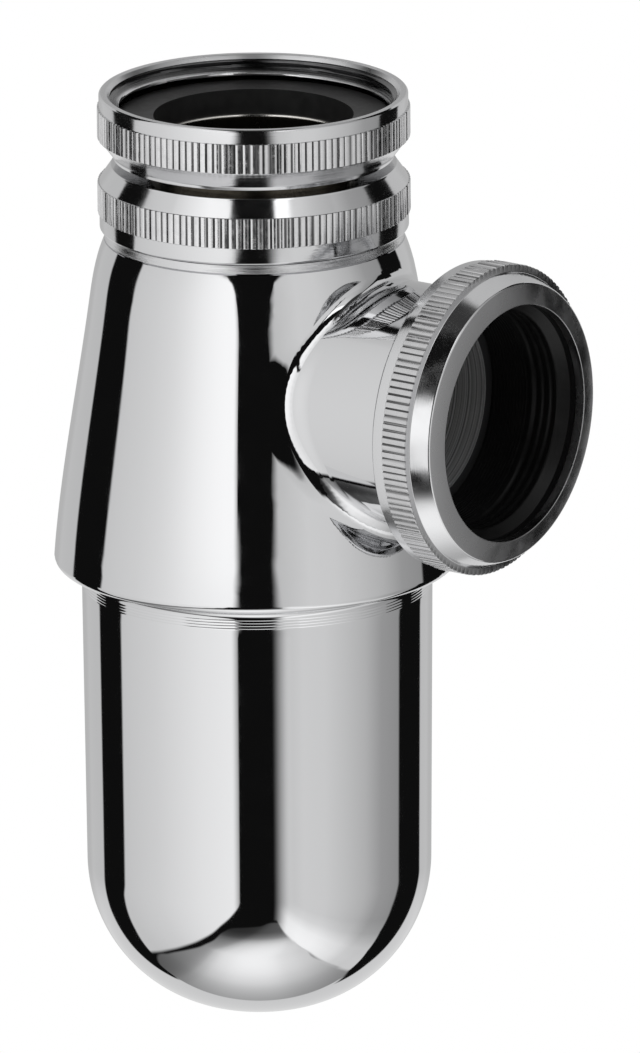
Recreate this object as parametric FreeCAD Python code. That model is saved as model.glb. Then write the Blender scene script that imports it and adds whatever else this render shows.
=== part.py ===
import FreeCAD, Part
import math
import os

# Bottle trap for a wash basin: chrome-plated brass, G 1 1/4 inlet nut, 32 mm outlet pipe.
# Millimetres. +Z goes up the inlet axis and +X out along the outlet.
# The origin is the centre of the inlet washer's top face, where the basin waste seats.

# Knurled union nuts
THREAD_R = 20.98            # root of the female G 1 1/4 thread
THREAD_CLEARANCE = 0.08     # radial play between a nut and the thread that it turns on
NUT_WALL = 1.87             # from the thread's root out to the knurl's crests
KNURL_TEETH = 136
KNURL_DEPTH = 0.27
KNURL_GROOVE_SHARE = 0.36   # share of the pitch that a groove takes
BAND_STEP = 0.03            # plain bands lie this far below the floor of the grooves
NUT_FACE_STEP = 0.43        # the closed end's outer edge lies this far inside the thread's root
NUT_SEAT_STEP = 1.58        # and the inner cone's small end this far
NUT_LIP = 1.6               # thickness of the inward lip that pulls the joint together
NUT_CONE = 2.0              # length of the inner cone between the lip and the thread
RIM_CHAMFER = 0.25
MOUTH_CHAMFER = 0.6         # depth of the lead-in to the thread
MOUTH_FLARE = 0.48          # how far the lead-in opens
RELIEF_DEPTH = 0.27         # thread relief below the last turn
SHORT_RELIEF = 0.8          # its length in the neck and outlet nuts
RUNNING_GAP = 0.1           # axial play of a captive nut
SEAT_CLEARANCE = 0.2        # between a nut's inner cone and the ring that it pulls down

# Inlet nut, measured along its axis from the open rim
INLET_BAND = 2.1
INLET_KNURL = 4.4
INLET_CHAMFER = 2.5
INLET_LAND = 0.8            # nearly upright ring between the chamfer and the face
INLET_LAND_FLARE = 0.3
INLET_FREE_THREAD = 3.5     # from the rim down to the washer

# Neck nut and outlet nut
NECK_BAND = 2.25
NECK_KNURL = 4.7
NECK_CHAMFER = 2.4
NECK_LAND = 1.0
NECK_LAND_FLARE = 0.45
OUTLET_BAND = 2.0
OUTLET_KNURL = 4.15
OUTLET_SHOULDER = 1.15      # flat ring between the outlet nut's knurl and its chamfer
OUTLET_CHAMFER = 2.75
OUTLET_FACE_RISE = 0.6      # the outlet nut's front face is a shallow cone

# Inlet washer, dip tube and its collar
WASHER_THICKNESS = 3.7
WASHER_RIM_CLEARANCE = 1.08 # between the washer and the thread's root
WASHER_INSET = 0.4          # the washer's hole is this much wider than the tube's bore
FLANGE_WIDTH = 4.2          # how far the flange and the collar stand out from the tube
FLANGE_THICKNESS = 0.9
TUBE_WALL = 0.8
COLLAR_THICKNESS = 1.5
TUBE_CLEARANCE = 0.3        # between the tube and the nuts that turn round it
WATER_SEAL = 50.0           # from the outlet's sill down to the tube's mouth

# Neck of the body and its washer
NECK_WASHER_THICKNESS = 2.0
NECK_WALL = 3.4
NECK_COLLAR_STEP = 1.0      # the plain turned collar stands this far outside the neck's thread
NECK_COLLAR_HEIGHT = 1.45
COLLAR_GAP = 0.2            # dark line between the neck nut and the collar
SHADOW_GROOVE = 0.25        # turned line between the collar and the bell

# Bell: each station is a share of the growth in radius and a share of the height
BELL_CURVE = ((0, 0), (0.122, 0.055), (0.297, 0.205), (0.606, 0.524), (0.899, 0.844), (1, 1))
BELL_ABOVE_BRANCH = 3.2     # from the bell's shoulder down to the top of the branch
BELL_BELOW_BRANCH = 9.05    # from the branch's underside down to the bell's widest ring
BELL_SHOULDER_STEP = 0.06   # the shoulder starts this far outside the collar
BELL_LIP_ROUND = 1.3
BELL_LIP_WALL = 2.6         # outside the cup's thread
BELL_WALL = 2.2

# Cup, its thread and its washer
CUP_THREAD_STEP = 6.02      # the cup's thread is this much larger in radius than the union nuts'
CUP_THREAD_LENGTH = 8.8
CUP_SHOULDER_ROUND = 1.3    # turned hollow under the bell's lip
CUP_SHOULDER_DROP = 0.4
CUP_TAPER = 0.4             # the straight wall draws in by this much
CUP_WALL = 1.2
CUP_STRAIGHT = 44.85        # from the bell's lip down to the start of the dome
CUP_KNUCKLE_INSET = 2.6     # the knuckle's centre lies this far off the axis
CUP_CROWN_STEP = 23.0       # the crown's radius less the knuckle's
CUP_WASHER_THICKNESS = 1.5
CUP_WASHER_WIDTH = 2.4

# Side outlet
BRANCH_OVERHANG = 16.82     # the outlet nut's face stands this far outside the bell's widest ring
BRANCH_STEP = 3.15          # the branch's outside lies this far inside its thread
BRANCH_WALL = 3.55
BRANCH_FILLET = 2.0
BRANCH_FLARE = 1.8
SOCKET_WALL = 1.15          # round the socket that takes the seal's sleeve
SOCKET_DEPTH = 15.5         # from the outlet nut's face to the end of the socket
SOCKET_MOUTH_WALL = 2.6     # under the thread
SOCKET_MOUTH_DEPTH = 4.3

# Outlet seal and slip ring
SEAL_FLANGE_THICKNESS = 1.5
SEAL_FLANGE_STEP = 0.3      # the seal's flange stands this far outside the inner cone's small end
SEAL_CLEARANCE = 0.1
SEAL_SLEEVE_WALL = 0.6
SEAL_RIB_STEP = 0.1         # the ribs' crests stand this far outside the sleeve's bore
SEAL_GROOVE_DEPTH = 0.45
SEAL_LEAD_DEPTH = 1.4
SEAL_LEAD_LENGTH = 1.6
SEAL_RIBS = 3
SEAL_RIB_PITCH = 1.4
SLIP_RING_THICKNESS = 0.8
HOLE_STEP = 0.1             # each ring's hole is this much wider than the next one in

# Directions
Z_AXIS = FreeCAD.Vector(0, 0, 1)
X_AXIS = FreeCAD.Vector(1, 0, 0)
Y_AXIS = FreeCAD.Vector(0, 1, 0)
ORIGIN = FreeCAD.Vector(0, 0, 0)
SMALL = 0.001

# Radii that follow from the sizes above
KNURL_R = THREAD_R + NUT_WALL
NUT_FACE_R = THREAD_R - NUT_FACE_STEP
NUT_SEAT_R = THREAD_R - NUT_SEAT_STEP
MALE_THREAD_R = THREAD_R - THREAD_CLEARANCE
FLANGE_R = NUT_SEAT_R - SEAT_CLEARANCE
TUBE_R = FLANGE_R - FLANGE_WIDTH
TUBE_BORE_R = TUBE_R - TUBE_WALL
NECK_BORE_R = MALE_THREAD_R - NECK_WALL
NECK_COLLAR_R = MALE_THREAD_R + NECK_COLLAR_STEP
BELL_TOP_R = NECK_COLLAR_R + BELL_SHOULDER_STEP
CUP_THREAD_R = THREAD_R + CUP_THREAD_STEP
CUP_BORE_R = CUP_THREAD_R + THREAD_CLEARANCE
BELL_MOUTH_R = CUP_BORE_R + BELL_LIP_WALL
LEDGE_R = CUP_BORE_R - CUP_WASHER_WIDTH
CUP_TOP_R = CUP_THREAD_R - CUP_SHOULDER_ROUND
CUP_LOW_R = CUP_TOP_R - CUP_TAPER
CUP_KNUCKLE_R = CUP_LOW_R - CUP_KNUCKLE_INSET
CUP_CROWN_R = CUP_KNUCKLE_R + CUP_CROWN_STEP
BRANCH_R = MALE_THREAD_R - BRANCH_STEP
BRANCH_BORE_R = BRANCH_R - BRANCH_WALL
SOCKET_R = BRANCH_R - SOCKET_WALL
SOCKET_MOUTH_R = MALE_THREAD_R - SOCKET_MOUTH_WALL
SEAL_BORE_R = SOCKET_R - SEAL_CLEARANCE - SEAL_SLEEVE_WALL
SEAL_LEAD_R = SEAL_BORE_R + SEAL_LEAD_DEPTH
OUTLET_HOLE_R = SEAL_LEAD_R + HOLE_STEP
SLIP_RING_HOLE_R = OUTLET_HOLE_R + HOLE_STEP
SEAL_FLANGE_R = NUT_SEAT_R + SEAL_FLANGE_STEP

# Heights, from the inlet down
RIM_Z = INLET_FREE_THREAD
INLET_LENGTH = INLET_BAND + INLET_KNURL + INLET_CHAMFER + INLET_LAND
INLET_LIP_Z = RIM_Z - INLET_LENGTH + NUT_LIP
FLANGE_TOP_Z = -WASHER_THICKNESS
NECK_NUT_LENGTH = NECK_BAND + NECK_KNURL + NECK_CHAMFER + NECK_LAND
NECK_NUT_TOP_Z = RIM_Z - INLET_LENGTH - RUNNING_GAP
COLLAR_TOP_Z = NECK_NUT_TOP_Z - NUT_LIP - RUNNING_GAP
NECK_WASHER_TOP_Z = COLLAR_TOP_Z - COLLAR_THICKNESS
NECK_TOP_Z = NECK_WASHER_TOP_Z - NECK_WASHER_THICKNESS
NECK_COLLAR_TOP_Z = NECK_NUT_TOP_Z - NECK_NUT_LENGTH - COLLAR_GAP
BELL_TOP_Z = NECK_COLLAR_TOP_Z - NECK_COLLAR_HEIGHT
BRANCH_DROP = BELL_ABOVE_BRANCH + BRANCH_R
BELL_HEIGHT = BRANCH_DROP + BRANCH_R + BELL_BELOW_BRANCH
BELL_BOTTOM_Z = BELL_TOP_Z - BELL_HEIGHT - BELL_LIP_ROUND
BRANCH_Z = BELL_TOP_Z - BRANCH_DROP
TUBE_END_Z = BRANCH_Z - BRANCH_BORE_R - WATER_SEAL
CUP_RIM_Z = BELL_BOTTOM_Z + CUP_THREAD_LENGTH
LEDGE_Z = CUP_RIM_Z + CUP_WASHER_THICKNESS
DOME_Z = BELL_BOTTOM_Z - CUP_STRAIGHT

# Places along the outlet's axis
BRANCH_REACH = BELL_MOUTH_R + BRANCH_OVERHANG
OUTLET_LENGTH = OUTLET_BAND + OUTLET_KNURL + OUTLET_CHAMFER + OUTLET_FACE_RISE
SLIP_RING_X = BRANCH_REACH - NUT_LIP - RUNNING_GAP
SEAL_FACE_X = SLIP_RING_X - SLIP_RING_THICKNESS
BRANCH_END_X = SEAL_FACE_X - SEAL_FLANGE_THICKNESS
SOCKET_STOP_X = BRANCH_REACH - SOCKET_DEPTH


def at(radius, height):
    """A point of an outline in the plane that is turned about Z."""
    return FreeCAD.Vector(radius, 0, height)


def line(start, end):
    return Part.LineSegment(start, end).toShape()


def arc(start, through, end):
    return Part.Arc(start, through, end).toShape()


def corner_arc(centre, radius, angle_a, angle_b):
    """Arc in the outline's plane, from angle_a to angle_b in degrees from +X towards +Z."""
    points = []
    for angle in (angle_a, (angle_a + angle_b) / 2, angle_b):
        turn = math.radians(angle)
        points.append(centre + FreeCAD.Vector(radius * math.cos(turn), 0, radius * math.sin(turn)))
    return arc(*points)


def lathe(edges):
    """Turn a closed outline about Z into a solid."""
    face = Part.Face(Part.Wire(Part.__sortEdges__(edges)))
    return face.revolve(ORIGIN, Z_AXIS, 360)


def lathe_polygon(points):
    closed = points + [points[0]]
    return lathe([line(a, b) for a, b in zip(closed, closed[1:])])


def to_outlet(shape):
    """Lay a turned piece on the outlet's axis: its -Z end comes to face +X."""
    laid = shape.copy()
    laid.rotate(ORIGIN, Y_AXIS, -90)
    laid.translate(at(0, BRANCH_Z))
    return laid


def along(x, radius):
    """A point of an outline that to_outlet lays down at x on the outlet's axis."""
    return at(radius, -x)


def washer(outer_r, hole_r, top_z, thickness):
    ring = Part.makeCylinder(outer_r, thickness, at(0, top_z - thickness))
    return ring.cut(Part.makeCylinder(hole_r, thickness, at(0, top_z - thickness)))


def knurl_band(crest_r, inner_r, top_z, length):
    """A ring with straight V grooves all round, one groove to each tooth."""
    pitch = 2 * math.pi / KNURL_TEETH
    half_groove = pitch * KNURL_GROOVE_SHARE / 2
    points = []
    for tooth in range(KNURL_TEETH):
        middle = tooth * pitch
        for turn, radius in ((-half_groove, crest_r), (0, crest_r - KNURL_DEPTH), (half_groove, crest_r)):
            angle = middle + turn
            points.append(FreeCAD.Vector(radius * math.cos(angle), radius * math.sin(angle), top_z - length))
    disc = Part.Face(Part.Wire(Part.makePolygon(points + [points[0]]))).extrude(at(0, length))
    return disc.cut(Part.makeCylinder(inner_r, length, at(0, top_z - length)))


def union_nut(band, knurl, end_points, hole_r, relief):
    """Knurled union nut with its open rim at z = 0 and its lip at the bottom.

    The end points give the outline past the knurl as (depth below the knurl, radius).
    """
    body_r = KNURL_R - KNURL_DEPTH - BAND_STEP
    knurl_end = -band - knurl
    length = -knurl_end + end_points[-1][0]
    lip_z = NUT_LIP - length
    cone_z = lip_z + NUT_CONE
    relief_r = THREAD_R + RELIEF_DEPTH
    points = [
        at(THREAD_R + MOUTH_FLARE, 0),
        at(body_r - RIM_CHAMFER, 0),
        at(body_r, -RIM_CHAMFER),
        at(body_r, knurl_end),
    ]
    for depth, radius in end_points:
        points.append(at(radius, knurl_end - depth))
    points += [
        at(hole_r, lip_z),
        at(NUT_SEAT_R, lip_z),
        at(relief_r, cone_z),
        at(relief_r, cone_z + relief),
        at(THREAD_R, cone_z + relief),
        at(THREAD_R, -MOUTH_CHAMFER),
    ]
    blank = lathe_polygon(points)
    wall_middle = (body_r + relief_r) / 2
    return blank.fuse(knurl_band(KNURL_R, wall_middle, -band, knurl)).removeSplitter()


def make_inlet_nut():
    hole_r = TUBE_R + TUBE_CLEARANCE
    end_points = [
        (INLET_CHAMFER, NUT_FACE_R + INLET_LAND_FLARE),
        (INLET_CHAMFER + INLET_LAND, NUT_FACE_R),
        (INLET_CHAMFER + INLET_LAND, hole_r),
    ]
    nut = union_nut(INLET_BAND, INLET_KNURL, end_points, hole_r, -(INLET_LIP_Z + NUT_CONE))
    nut.translate(at(0, RIM_Z))
    return nut


def make_neck_nut():
    hole_r = TUBE_R + TUBE_CLEARANCE
    end_points = [
        (NECK_CHAMFER, NUT_FACE_R + NECK_LAND_FLARE),
        (NECK_CHAMFER + NECK_LAND, NUT_FACE_R),
        (NECK_CHAMFER + NECK_LAND, hole_r),
    ]
    nut = union_nut(NECK_BAND, NECK_KNURL, end_points, hole_r, SHORT_RELIEF)
    nut.rotate(ORIGIN, X_AXIS, 180)
    nut.translate(at(0, NECK_NUT_TOP_Z - NECK_NUT_LENGTH))
    return nut


def make_outlet_nut():
    end_points = [
        (0, KNURL_R - OUTLET_SHOULDER),
        (OUTLET_CHAMFER, NUT_FACE_R),
        (OUTLET_CHAMFER + OUTLET_FACE_RISE, OUTLET_HOLE_R),
    ]
    nut = union_nut(OUTLET_BAND, OUTLET_KNURL, end_points, OUTLET_HOLE_R, SHORT_RELIEF)
    nut.translate(at(0, -(BRANCH_REACH - OUTLET_LENGTH)))
    return to_outlet(nut)


def make_inlet_washer():
    return washer(THREAD_R - WASHER_RIM_CLEARANCE, TUBE_BORE_R + WASHER_INSET, 0, WASHER_THICKNESS)


def make_dip_tube():
    flange_bottom = FLANGE_TOP_Z - FLANGE_THICKNESS
    return lathe_polygon([
        at(TUBE_BORE_R, FLANGE_TOP_Z),
        at(FLANGE_R, FLANGE_TOP_Z),
        at(FLANGE_R, flange_bottom),
        at(TUBE_R, flange_bottom),
        at(TUBE_R, TUBE_END_Z),
        at(TUBE_BORE_R, TUBE_END_Z),
    ])


def make_tube_collar():
    return washer(FLANGE_R, TUBE_R, COLLAR_TOP_Z, COLLAR_THICKNESS)


def make_neck_washer():
    return washer(FLANGE_R, TUBE_R, NECK_WASHER_TOP_Z, NECK_WASHER_THICKNESS)


def bell_station(growth, drop):
    """Radius and height of one station of the bell's curve."""
    return BELL_TOP_R + growth * (BELL_MOUTH_R - BELL_TOP_R), BELL_TOP_Z - drop * BELL_HEIGHT


def bell_skin():
    """The bell's long outer curve, from its shoulder down to its widest ring."""
    curve = Part.BSplineCurve()
    curve.interpolate([at(*bell_station(growth, drop)) for growth, drop in BELL_CURVE])
    return curve.toShape()


def make_body():
    """Body cast in one piece: threaded neck, bell and side branch."""
    lip_centre = at(BELL_MOUTH_R - BELL_LIP_ROUND, BELL_TOP_Z - BELL_HEIGHT)
    groove_r = BELL_TOP_R - SHADOW_GROOVE
    outer = lathe([
        line(at(0, NECK_TOP_Z), at(MALE_THREAD_R, NECK_TOP_Z)),
        line(at(MALE_THREAD_R, NECK_TOP_Z), at(MALE_THREAD_R, NECK_COLLAR_TOP_Z)),
        line(at(MALE_THREAD_R, NECK_COLLAR_TOP_Z), at(NECK_COLLAR_R, NECK_COLLAR_TOP_Z)),
        line(at(NECK_COLLAR_R, NECK_COLLAR_TOP_Z), at(NECK_COLLAR_R, BELL_TOP_Z + SHADOW_GROOVE)),
        line(at(NECK_COLLAR_R, BELL_TOP_Z + SHADOW_GROOVE), at(groove_r, BELL_TOP_Z)),
        line(at(groove_r, BELL_TOP_Z), at(BELL_TOP_R, BELL_TOP_Z)),
        bell_skin(),
        corner_arc(lip_centre, BELL_LIP_ROUND, 0, -90),
        line(at(lip_centre.x, BELL_BOTTOM_Z), at(0, BELL_BOTTOM_Z)),
        line(at(0, BELL_BOTTOM_Z), at(0, NECK_TOP_Z)),
    ])
    outer.rotate(ORIGIN, Z_AXIS, 180)
    branch = to_outlet(Part.makeCylinder(BRANCH_R, BRANCH_END_X, at(0, -BRANCH_END_X)))
    solid = outer.fuse(branch)
    solid = round_saddle(solid)

    flare_start = BRANCH_REACH - OUTLET_LENGTH
    flare = to_outlet(lathe_polygon([
        along(flare_start, 0),
        along(flare_start, BRANCH_R),
        along(flare_start + BRANCH_FLARE, MALE_THREAD_R),
        along(BRANCH_END_X, MALE_THREAD_R),
        along(BRANCH_END_X, 0),
    ]))
    solid = solid.fuse(flare)

    inside_top = BELL_TOP_Z - BELL_WALL
    upper_r, upper_z = bell_station(*BELL_CURVE[2])
    hollow = lathe_polygon([
        at(0, NECK_TOP_Z),
        at(NECK_BORE_R, NECK_TOP_Z),
        at(NECK_BORE_R, inside_top),
        at(BELL_TOP_R - BELL_WALL, inside_top - BELL_WALL),
        at(upper_r - BELL_WALL, upper_z),
        at(LEDGE_R, LEDGE_Z),
        at(CUP_BORE_R, LEDGE_Z),
        at(CUP_BORE_R, BELL_BOTTOM_Z),
        at(0, BELL_BOTTOM_Z),
    ])
    waterway = to_outlet(lathe_polygon([
        along(0, 0),
        along(0, BRANCH_BORE_R),
        along(SOCKET_STOP_X, BRANCH_BORE_R),
        along(SOCKET_STOP_X, SOCKET_R),
        along(BRANCH_END_X - SOCKET_MOUTH_DEPTH, SOCKET_R),
        along(BRANCH_END_X - SOCKET_MOUTH_DEPTH, SOCKET_MOUTH_R),
        along(BRANCH_END_X, SOCKET_MOUTH_R),
        along(BRANCH_END_X, 0),
    ]))
    return solid.cut(hollow).cut(waterway)


def round_saddle(solid):
    """Fillet the closed curve where the side branch leaves the bell."""
    saddle = []
    for edge in solid.Edges:
        box = edge.BoundBox
        centre_on_branch = abs(box.Center.z - BRANCH_Z) < BRANCH_R / 2
        if centre_on_branch and box.XMin > BRANCH_R / 4 and box.XMax < BRANCH_END_X - SMALL:
            if box.ZLength > BRANCH_R:
                saddle.append(edge)
    return solid.makeFillet(BRANCH_FILLET, saddle)


def make_cup_washer():
    outer_r = CUP_THREAD_R - THREAD_CLEARANCE
    return washer(outer_r, outer_r - CUP_WASHER_WIDTH, LEDGE_Z, CUP_WASHER_THICKNESS)


def cup_dome(wall):
    """Knuckle and crown arcs of the dome, moved inwards by a wall."""
    knuckle_centre = at(CUP_LOW_R - CUP_KNUCKLE_R, DOME_Z)
    reach = CUP_CROWN_R - CUP_KNUCKLE_R
    drop = math.sqrt(reach ** 2 - knuckle_centre.x ** 2)
    crown_centre = at(0, DOME_Z + drop)
    tangent = -90 + math.degrees(math.asin(knuckle_centre.x / reach))
    return [
        corner_arc(knuckle_centre, CUP_KNUCKLE_R - wall, 0, tangent),
        corner_arc(crown_centre, CUP_CROWN_R - wall, tangent, -90),
    ]


def make_cup():
    shoulder_z = BELL_BOTTOM_Z - CUP_SHOULDER_DROP
    shoulder_low_z = shoulder_z - CUP_SHOULDER_ROUND
    round_centre = at(CUP_TOP_R + CUP_SHOULDER_ROUND, shoulder_low_z)
    crown_outer = cup_dome(0)
    crown_inner = cup_dome(CUP_WALL)
    low_points = [edge.valueAt(edge.LastParameter) for edge in (crown_outer[1], crown_inner[1])]
    bore_r = CUP_TOP_R - CUP_WALL
    edges = [
        line(at(CUP_THREAD_R, CUP_RIM_Z), at(CUP_THREAD_R, shoulder_z)),
        corner_arc(round_centre, CUP_SHOULDER_ROUND, 90, 180),
        line(at(CUP_TOP_R, shoulder_low_z), at(CUP_LOW_R, DOME_Z)),
        crown_outer[0],
        crown_outer[1],
        line(low_points[0], low_points[1]),
        crown_inner[0],
        crown_inner[1],
        line(at(CUP_LOW_R - CUP_WALL, DOME_Z), at(bore_r, shoulder_low_z)),
        line(at(bore_r, shoulder_low_z), at(bore_r, CUP_RIM_Z)),
        line(at(bore_r, CUP_RIM_Z), at(CUP_THREAD_R, CUP_RIM_Z)),
    ]
    if abs(round_centre.x - CUP_THREAD_R) > SMALL:
        edges.append(line(at(CUP_THREAD_R, shoulder_z), at(round_centre.x, shoulder_z)))
    return lathe(edges)


def make_outlet_seal():
    """Rubber sleeve: clamped flange, ribbed mouth and a long plain sleeve."""
    mouth_r = SOCKET_MOUTH_R - SEAL_CLEARANCE
    sleeve_r = SOCKET_R - SEAL_CLEARANCE
    mouth_x = BRANCH_END_X - SOCKET_MOUTH_DEPTH + SEAL_CLEARANCE
    back_x = SOCKET_STOP_X + SEAL_CLEARANCE
    sleeve_end_x = SEAL_FACE_X - SEAL_LEAD_LENGTH - SEAL_RIBS * SEAL_RIB_PITCH
    points = [
        along(SEAL_FACE_X, SEAL_LEAD_R),
        along(SEAL_FACE_X, SEAL_FLANGE_R),
        along(BRANCH_END_X, SEAL_FLANGE_R),
        along(BRANCH_END_X, mouth_r),
        along(mouth_x, mouth_r),
        along(mouth_x, sleeve_r),
        along(back_x, sleeve_r),
        along(back_x, SEAL_BORE_R),
        along(sleeve_end_x, SEAL_BORE_R),
    ]
    for rib in range(SEAL_RIBS):
        groove_x = sleeve_end_x + (rib + 0.5) * SEAL_RIB_PITCH
        points.append(along(groove_x, SEAL_BORE_R + SEAL_GROOVE_DEPTH))
        points.append(along(groove_x + SEAL_RIB_PITCH / 2, SEAL_BORE_R + SEAL_RIB_STEP))
    return to_outlet(lathe_polygon(points))


def make_slip_ring():
    ring = washer(FLANGE_R, SLIP_RING_HOLE_R, -SEAL_FACE_X, SLIP_RING_THICKNESS)
    return to_outlet(ring)


PIECES = {
    "inlet_nut": make_inlet_nut,
    "inlet_washer": make_inlet_washer,
    "dip_tube": make_dip_tube,
    "tube_collar": make_tube_collar,
    "neck_nut": make_neck_nut,
    "neck_washer": make_neck_washer,
    "trap_body": make_body,
    "cup_washer": make_cup_washer,
    "cup": make_cup,
    "outlet_seal": make_outlet_seal,
    "outlet_slip_ring": make_slip_ring,
    "outlet_nut": make_outlet_nut,
}

os.makedirs("parts", exist_ok=True)
for name, make in PIECES.items():
    shape = make()
    shape.exportStep("parts/" + name + ".step")
    box = shape.BoundBox
    print(name, "valid", shape.isValid(), "solids", len(shape.Solids), "volume", round(shape.Volume, 1),
          "x", round(box.XMin, 2), round(box.XMax, 2), "z", round(box.ZMin, 2), round(box.ZMax, 2))
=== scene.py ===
"""Chrome-plated bottle trap: fine skins, finishes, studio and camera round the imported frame."""
import math

import bmesh
import bpy
import numpy as np
from mathutils import Matrix, Vector


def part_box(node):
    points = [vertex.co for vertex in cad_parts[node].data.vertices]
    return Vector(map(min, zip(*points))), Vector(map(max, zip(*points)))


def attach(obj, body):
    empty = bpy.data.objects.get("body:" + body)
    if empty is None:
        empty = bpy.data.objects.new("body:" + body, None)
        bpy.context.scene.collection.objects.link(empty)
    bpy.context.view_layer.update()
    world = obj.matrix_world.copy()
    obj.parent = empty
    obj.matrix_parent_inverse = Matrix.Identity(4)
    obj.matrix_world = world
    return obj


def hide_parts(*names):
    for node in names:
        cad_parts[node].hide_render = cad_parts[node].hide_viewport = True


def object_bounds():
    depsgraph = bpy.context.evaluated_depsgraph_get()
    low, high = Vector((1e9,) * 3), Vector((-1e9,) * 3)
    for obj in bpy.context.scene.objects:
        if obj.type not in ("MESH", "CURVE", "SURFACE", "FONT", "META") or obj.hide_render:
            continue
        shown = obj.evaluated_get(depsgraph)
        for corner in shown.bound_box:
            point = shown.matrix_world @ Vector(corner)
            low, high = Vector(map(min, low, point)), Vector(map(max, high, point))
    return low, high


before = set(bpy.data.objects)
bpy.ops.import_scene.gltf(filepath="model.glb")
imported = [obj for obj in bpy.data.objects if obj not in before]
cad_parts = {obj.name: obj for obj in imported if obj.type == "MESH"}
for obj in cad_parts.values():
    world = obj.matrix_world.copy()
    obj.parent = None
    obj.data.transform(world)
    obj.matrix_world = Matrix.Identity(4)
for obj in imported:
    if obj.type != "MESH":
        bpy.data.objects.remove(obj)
cad_low, cad_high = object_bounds()

# Lengths below are millimetres and are turned into metres when a mesh or a shader needs them
MM = 0.001


def node_box(node):
    """Lowest and highest corner of a node, in millimetres."""
    low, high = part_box(node)
    return low / MM, high / MM


inlet_low, inlet_high = node_box("inlet_nut")
neck_low, neck_high = node_box("neck_nut")
outlet_low, outlet_high = node_box("outlet_nut")
_, cup_high = node_box("cup")
seal_low, seal_high = node_box("outlet_seal")
body_low, body_high = node_box("trap_body")
tube_low, tube_high = node_box("dip_tube")

BRANCH_Z = (outlet_low.z + outlet_high.z) / 2
RIM_Z = inlet_high.z

# Knurls and threads
TEETH = 136
KNURL_DEPTH = 0.27
KNURL_ROUND = 0.06
BAND_STEP = 0.03
THREAD_R = 20.98
THREAD_PITCH = 2.309
THREAD_DEPTH = 1.35
THREAD_STEPS = 12
EDGE = 0.07
CORNER_STEPS = (0, 0.25, 0.5, 0.75, 1)

# The camera's direction, which the studio is set round too
AZIMUTH = math.radians(36)
ELEVATION = math.radians(16.0)


def softened(corners, default=EDGE):
    """An outline with each corner turned into a small round. A corner is (radius, height, round)."""
    points = []
    last = len(corners) - 1
    for index, corner in enumerate(corners):
        here = np.array(corner[:2], float)
        size = corner[2] if len(corner) > 2 else default
        if size == 0 or index in (0, last):
            points.append(here)
            continue
        before = np.array(corners[index - 1][:2], float) - here
        after = np.array(corners[index + 1][:2], float) - here
        reach = min(size, 0.45 * np.linalg.norm(before), 0.45 * np.linalg.norm(after))
        start = here + before / np.linalg.norm(before) * reach
        end = here + after / np.linalg.norm(after) * reach
        for share in CORNER_STEPS:
            rest = 1 - share
            points.append(start * rest ** 2 + here * 2 * share * rest + end * share ** 2)
    return points


def even_angles(count):
    """Column angles of a plain turned skin."""
    return np.arange(count) * 2 * math.pi / count


def round_axis(radii, heights, angles):
    """Grid of points round the axis: one row for each height, one column for each angle."""
    tall = np.broadcast_to(np.reshape(heights, (-1, 1)), (len(heights), len(angles)))
    return np.stack((radii * np.cos(angles), radii * np.sin(angles), tall), axis=-1)


def turned(outline, angles):
    """Grid of a turned form, one row for each point of its outline."""
    outline = np.array(outline, float)
    return round_axis(outline[:, :1], outline[:, 1], angles)


def thread_rows(root_r, start_z, end_z, angles, inwards=True):
    """Rows of a right-hand thread that fades in and out at its ends."""
    count = max(2, int(abs(end_z - start_z) / THREAD_PITCH * THREAD_STEPS))
    heights = np.linspace(start_z, end_z, count + 1)[:, None]
    turn = (heights / THREAD_PITCH - angles / (2 * math.pi)) % 1.0
    ridge = np.clip(1.25 - np.abs(2 * turn - 1) * 1.5, 0, 1)
    to_end = np.minimum(np.abs(heights - start_z), np.abs(heights - end_z))
    fade = np.minimum(1.0, to_end / (THREAD_PITCH / 3))
    radii = root_r - (1 if inwards else -1) * THREAD_DEPTH * ridge * fade
    return round_axis(radii, heights[:, 0], angles)


def tooth_angles(seed):
    """Column angles and depths of the knurl: a narrow V groove and a slightly crooked land to each tooth."""
    chance = np.random.default_rng(seed)
    offsets = np.array([-0.19, -0.09, 0.0, 0.09, 0.19, 0.35, 0.5, 0.65])
    shape = np.array([0.10, 0.62, 1.0, 0.62, 0.10, 0.02, 0.0, 0.02])
    lean = np.array([0.0, 0.0, 0.0, 0.0, -1.0, -0.5, 0.0, 0.5])
    groove_part = np.array([1.0, 1.0, 0.0, 1.0, 1.0, 0.0, 0.0, 0.0])
    groove_bottom = 2
    deepest_land = 0.95
    teeth = np.arange(TEETH)[:, None]
    leaning = chance.normal(0.0, 0.10, (TEETH, 1))
    drop = np.abs(leaning) + chance.uniform(0.0, 0.10, (TEETH, 1))
    wide = chance.uniform(0.75, 1.2, (TEETH, 1))
    spread = offsets * (1 + groove_part * (wide - 1))
    angles = (teeth + spread) * 2 * math.pi / TEETH
    land = np.minimum(shape + drop + lean * leaning, deepest_land)
    depths = np.where(np.arange(len(offsets)) == groove_bottom, shape, land)
    depths[:, 0] = np.roll(np.minimum(0.1 + drop + leaning, deepest_land)[:, 0], 1)
    return angles.ravel(), depths.ravel()


def skin_faces(rows, columns, closed):
    """Quads between the rows of a grid, and from the last row to the first where it is closed."""
    faces = []
    for row in range(rows if closed else rows - 1):
        start = row * columns
        low = (row + 1) % rows * columns
        for column in range(columns):
            beside = (column + 1) % columns
            faces.append((start + column, start + beside, low + beside, low + column))
    return faces


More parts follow.
